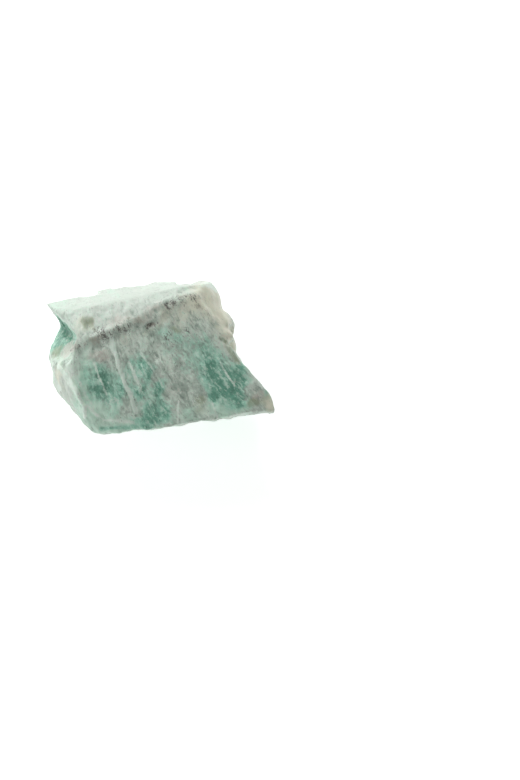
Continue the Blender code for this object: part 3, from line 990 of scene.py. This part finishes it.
        # painted highlight: the convex edges are lightened with white
        colour = s.mix(colour, self.white, s.held("edge") * 0.3)
        colour = s.mix(colour, self.stain_and_crease_shade, (s.held("stain_and_crease_shade") + p.broken * 0.9).eased(0.2, 0.8) * 0.75)
        strokes = p.strokes.ridge(0.06).peak(p.strokes.eased(0.05, 0.11))
        scribble = strokes * (s.held("pit") + p.flecks * 1.4 + p.hatch)
        colour = s.mix(colour, self.pit, scribble.eased(0.22, 0.46) * 0.85)
        # painted shade: the concave creases are darkened with the stain colour
        return s.mix(colour, self.stain_and_crease_shade, s.held("hollow") * 0.12)

    def _surface(self, s: Shading, p: Patterns, strength: Socket) -> None:
        """Sets how rough, clear and bumpy the stone is.

        Args:
            s: The finish's tree.
            p: Its patterns.
            strength: How bumpy it is, from 0 to 1.
        """
        height = (p.hatch * 0.5 + p.flecks * 0.8 + p.chips * 0.25 + p.plates * 0.2) * (0.25 + strength * 0.75)
        inputs = {"Strength": self.bump_strength, "Distance": self.bump_distance * MM, "Height": height}
        bump = s.node("ShaderNodeBump", {}, inputs)
        values = {
            "Roughness": 0.44 + p.patchy * 0.4 + p.hatch * 0.4 - s.held("cream") * 0.1,
            "Subsurface Weight": self.subsurface,
            "Subsurface Radius": self.subsurface_radius,
            "Subsurface Scale": self.subsurface_scale * MM,
            "IOR": self.ior,
            "Normal": Socket(s, bump.outputs["Normal"]),
        }
        for name, value in values.items():
            s.put(s.shader.inputs[name], value)


@dataclass
class Stone:
    """The stone itself: its skin, relief, tints and finish."""

    node: str = NODE
    name: str = "rough_amazonite"
    skin_size: float = 0.3
    sharpen_rounds: int = 10
    likeness: float = 0.32
    flat_below: float = 0.35
    quiet_below: float = 2.0
    facet_calm: float = 0.9
    lobe_calm: float = 0.85
    band_calm: float = 0.45
    stray_waves: Triple = (3.2, 3.2, 3.2)
    stray_reach: float = 1.1
    line_stray: float = 0.18
    inner_waves: Triple = (9.0, 14.0, 8.0)
    band_waves: Triple = (2.2, 2.2, 2.2)
    band_stray: float = 1.2
    cleavage: Cleavage = field(default_factory=Cleavage)
    finish: FeldsparFinish = field(default_factory=FeldsparFinish)

    def build(self) -> bpy.types.Object:
        """Builds the stone and dresses it.

        Returns:
            The finished piece, which stands for the stone's solid.
        """
        piece = self._even_copy()
        skin = Skin(piece.data)
        skin.sharpen(self.sharpen_rounds, self.likeness)
        facing = skin.normals()
        grain = self.cleavage.grain(skin.points)
        self._roughen(skin, facing, grain)
        self._settle(skin)
        skin.write()
        self._tint(skin)
        piece.data.materials.clear()
        piece.data.materials.append(self.finish.material())
        piece.data.polygons.foreach_set("use_smooth", [True] * len(piece.data.polygons))
        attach(piece, "root")
        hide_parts("amazonite")
        return piece

    def _even_copy(self) -> bpy.types.Object:
        """Copies the stone's solid with an even skin of small faces.

        Returns:
            The copy.
        """
        bm = bmesh.new()
        bm.from_mesh(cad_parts[self.node].data)
        bmesh.ops.remove_doubles(bm, verts=bm.verts, dist=MERGE_WITHIN * MM)
        mesh = bpy.data.meshes.new(self.name)
        bm.to_mesh(mesh)
        bm.free()
        piece = bpy.data.objects.new(self.name, mesh)
        bpy.context.scene.collection.objects.link(piece)
        even = piece.modifiers.new("even_skin", "REMESH")
        even.mode = "VOXEL"
        even.voxel_size = self.skin_size * MM
        bpy.context.view_layer.update()
        graph = bpy.context.evaluated_depsgraph_get()
        piece.data = bpy.data.meshes.new_from_object(piece.evaluated_get(graph))
        piece.modifiers.clear()
        piece.data.name = self.name
        self._drop_crumbs(piece.data)
        return piece

    @staticmethod
    def _drop_crumbs(mesh: bpy.types.Mesh) -> None:
        """Deletes the crumbs that an even skin leaves where the solid is thinner than its faces.

        Args:
            mesh: The even skin. Its largest connected part stays.
        """
        bm = bmesh.new()
        bm.from_mesh(mesh)
        unseen, parts = set(bm.verts), []
        while unseen:
            front = {unseen.pop()}
            part = set(front)
            while front:
                near = {edge.other_vert(vert) for vert in front for edge in vert.link_edges}
                front = near & unseen
                unseen -= front
                part |= front
            parts.append(part)
        crumbs = set().union(*parts) - max(parts, key=len)
        bmesh.ops.delete(bm, geom=list(crumbs), context="VERTS")
        bm.to_mesh(mesh)
        bm.free()

    def _facet(self, facing: np.ndarray) -> np.ndarray:
        """How much each point belongs to the smooth facet at the back, from 0 to 1."""
        return smooth_step(facing[:, 1], 0.35, 0.6) * smooth_step(facing[:, 2], 0.2, 0.4)

    def _lobes(self, points: np.ndarray) -> np.ndarray:
        """How much each point belongs to the smooth cream places, above all the lobes at the right."""
        cream = [patch.cover(points) for patch in PATCHES if patch.tint is Tint.CREAM]
        return np.max(cream, axis=0) * smooth_step(points[:, 2], 10.0, 15.0)

    def _roughen(self, skin: Skin, facing: np.ndarray, grain: np.ndarray) -> None:
        """Works the small relief into the skin.

        Args:
            skin: The skin, whose points move.
            facing: The way the skin points.
            grain: The points in the stone's own directions.
        """
        points = skin.points
        band = self.band_calm * self._pale(points, facing)
        calm = np.maximum(self._facet(facing) * self.facet_calm, self._lobes(points) * self.lobe_calm)
        calm = np.maximum(calm, band)
        top = self._top(points, facing)
        rough = smooth_step(points[:, 2], 0.0, self.quiet_below) * (1.0 - calm) * (0.6 + 0.4 * top)
        rise = sum(relief.rise(grain) for relief in RELIEFS) * rough
        wander = self._stray(points) * self.line_stray
        for line in LINES:
            rise += line.nearness(points + wander) * line.height * top
        for swell in SWELLS:
            rise += swell.rise(points + wander) * smooth_step(points[:, 2], 10.0, 14.0)
        rise = skin.spread(rise, 1)
        skin.points += facing * rise[:, None] + CORNER.shift(points)

    @staticmethod
    def _top(points: np.ndarray, facing: np.ndarray) -> np.ndarray:
        """How much each point belongs to the stone's upper side, from 0 to 1."""
        return smooth_step(facing[:, 2], -0.05, 0.25) * smooth_step(points[:, 2], 10.0, 13.0)

    def _settle(self, skin: Skin) -> None:
        """Sets the stone down on its flat spot.

        Args:
            skin: The skin, whose points move.
        """
        height = skin.points[:, 2]
        resting = (skin.normals()[:, 2] < -0.7) & (height < self.flat_below)
        height[resting] = 0.0
        np.maximum(height, 0.0, out=height)

    def _tint(self, skin: Skin) -> None:
        """Keeps the tints on the skin, and the convex edges and the concave creases where highlight and shade
        are painted.

        Args:
            skin: The worked skin.
        """
        points = skin.points
        facing = skin.spread(skin.normals(), 12)
        top = self._top(points, facing)
        grain = self.cleavage.grain(points)
        stray = self._stray(points)
        inner = noise_at(grain, self.inner_waves, 3, 60.0)
        behind = smooth_step(points[:, 1], 13.0, 14.5) * smooth_step(points[:, 2], 12.5, 14.5)
        smooth = np.maximum(np.maximum(self._facet(facing), self._lobes(points)), behind)
        # the notch under the lip, where green is laid on the steep faces as painted shade
        notch = smooth_step(points[:, 0], -16.5, -18.5) * smooth_step(points[:, 2], 8.0, 11.0)
        rim = (1.0 - top) * smooth_step(facing[:, 1], -0.3, -0.6) * smooth_step(facing[:, 2], -0.35, -0.1)
        bare_side = (1.0 - top) * (1.0 - rim) * (1.0 - 0.95 * smooth)
        for tint in Tint:
            bare = np.ones(len(points))
            for patch in PATCHES:
                if patch.tint is tint:
                    bare *= 1.0 - patch.cover(points + stray)
            for line in LINES:
                if line.tint is tint:
                    bare *= 1.0 - line.nearness(points + stray * self.line_stray) * line.strength
            value = (1.0 - bare) * top
            if tint is Tint.GREEN:
                # in the notch the green also covers the steep faces, as painted shade
                value = (1.0 - bare) * np.maximum(top, notch)
                value = np.maximum(value, 0.8 * bare_side * smooth_step(inner, -0.6, 0.6))
            if tint is Tint.MINT:
                value = np.maximum(value, (1.0 - top) * smooth_step(inner, 0.1, -0.6) * 0.5)
            if tint is Tint.PALE:
                value = np.maximum(np.maximum(value, self._pale(points, facing)), rim * 0.7)
            skin.keep(tint.value, value)
        skin.keep("grain", grain)
        bulge = ((points - skin.spread(points, 4)) * skin.normals()).sum(axis=1)
        # the convex edges, where a highlight is painted
        skin.keep("edge", smooth_step(bulge, 0.03, 0.14))
        # the concave creases, where shade is painted
        skin.keep("hollow", smooth_step(bulge, -0.05, -0.2))

    def _stray(self, points: np.ndarray) -> np.ndarray:
        """How far the edges of the patches stray at each point, in mm."""
        return drift_at(points, self.stray_waves, 4, 5.0, 10.0) * self.stray_reach

    def _pale(self, points: np.ndarray, facing: np.ndarray) -> np.ndarray:
        """How much each point belongs to the pale back facet, the band before it or the left flank.

        Args:
            points: Places in mm, one row each.
            facing: The way the skin points there.

        Returns:
            Values from 0 to 1.
        """
        behind = points[:, 1] - np.interp(points[:, 0], BAND_X, BAND_Y)
        stray = self.band_stray * noise_at(points, self.band_waves, 3, 80.0)
        band = smooth_step(behind + stray, -1.6, 2.6)
        band *= smooth_step(points[:, 2], 12.0, 16.0) * 0.7
        flank = smooth_step(facing[:, 0], -0.45, -0.75) * smooth_step(points[:, 2], 6.0, 14.0) * 0.15
        return np.maximum(np.maximum(band, self._facet(facing)), flank)


@dataclass
class Studio:
    """A plain pale floor and soft light, mostly from behind the stone. Its lengths are in metres."""

    floor_size: float = 8.0
    floor_colour: Triple = (0.9, 0.9, 0.9)
    floor_roughness: float = 0.9
    floor_glow: float = 0.6
    sky: float = 0.38
    key_power: float = 2.7
    key_size: float = 0.45
    key_from: Triple = (-0.16, 0.52, 0.34)
    fill_power: float = 0.45
    fill_size: float = 0.4
    fill_from: Triple = (-0.52, -0.1, 0.3)
    aim: Triple = (0.0, 0.0, 0.015)

    def build(self) -> bpy.types.Object:
        """Sets up the floor and the lights.

        Returns:
            The floor.
        """
        floor = self._floor()
        self._light("key_light", self.key_from, self.key_power, self.key_size)
        self._light("fill_light", self.fill_from, self.fill_power, self.fill_size)
        world = bpy.data.worlds.new("studio_air")
        world.use_nodes = True
        world.node_tree.nodes["Background"].inputs["Color"].default_value = (1.0, 1.0, 1.0, 1.0)
        world.node_tree.nodes["Background"].inputs["Strength"].default_value = self.sky
        bpy.context.scene.world = world
        bpy.context.scene.view_settings.view_transform = "Standard"
        return floor

    def _floor(self) -> bpy.types.Object:
        """Makes the floor, which shines a little so that hardly a shadow is left on it.

        Returns:
            The floor.
        """
        bm = bmesh.new()
        bmesh.ops.create_grid(bm, x_segments=1, y_segments=1, size=self.floor_size / 2)
        mesh = bpy.data.meshes.new("floor")
        bm.to_mesh(mesh)
        bm.free()
        floor = bpy.data.objects.new("floor", mesh)
        bpy.context.scene.collection.objects.link(floor)
        s = Shading("floor_finish")
        s.put(s.shader.inputs["Base Color"], self.floor_colour)
        s.put(s.shader.inputs["Roughness"], self.floor_roughness)
        s.put(s.shader.inputs["Emission Color"], (1.0, 1.0, 1.0))
        s.put(s.shader.inputs["Emission Strength"], self.floor_glow)
        mesh.materials.append(s.material)
        return floor

    def _light(self, name: str, place: Triple, power: float, size: float) -> None:
        """Hangs a soft square light that faces the stone.

        Args:
            name: The light's name.
            place: Where it hangs.
            power: Its power in watts.
            size: The length of its sides.
        """
        light = bpy.data.lights.new(name, "AREA")
        light.energy = power
        light.size = size
        lamp = bpy.data.objects.new(name, light)
        lamp.location = place
        lamp.rotation_euler = (Vector(self.aim) - Vector(place)).to_track_quat("-Z", "Y").to_euler()
        bpy.context.scene.collection.objects.link(lamp)


@dataclass
class Viewpoint:
    """The camera, steeply above the stone and a little to its left."""

    eye: Triple = (1.148, -163.572, 486.94)
    target: Triple = (22.58, -11.08, 13.0)
    lens: float = 100.0
    clip: Pair = (10.0, 10000.0)

    def build(self) -> bpy.types.Object:
        """Makes the camera the scene's own.

        Returns:
            The camera.
        """
        camera = bpy.data.cameras.new("camera")
        camera.lens = self.lens
        camera.clip_start, camera.clip_end = (edge * MM for edge in self.clip)
        made = bpy.data.objects.new("camera", camera)
        made.location = Vector(self.eye) * MM
        looking = Vector(self.target) - Vector(self.eye)
        made.rotation_euler = looking.to_track_quat("-Z", "Y").to_euler()
        bpy.context.scene.collection.objects.link(made)
        bpy.context.scene.camera = made
        return made


def main() -> None:
    """Builds the stone, the studio and the camera."""
    logging.basicConfig(level=logging.INFO, format="%(name)s: %(message)s")
    for maker in (Stone(), Studio()):
        made = maker.build()
        LOG.info("%s: %d faces", made.name, len(made.data.polygons))
    camera = Viewpoint().build()
    LOG.info("%s: %g mm lens", camera.name, camera.data.lens)


if __name__ == "__main__":
    main()
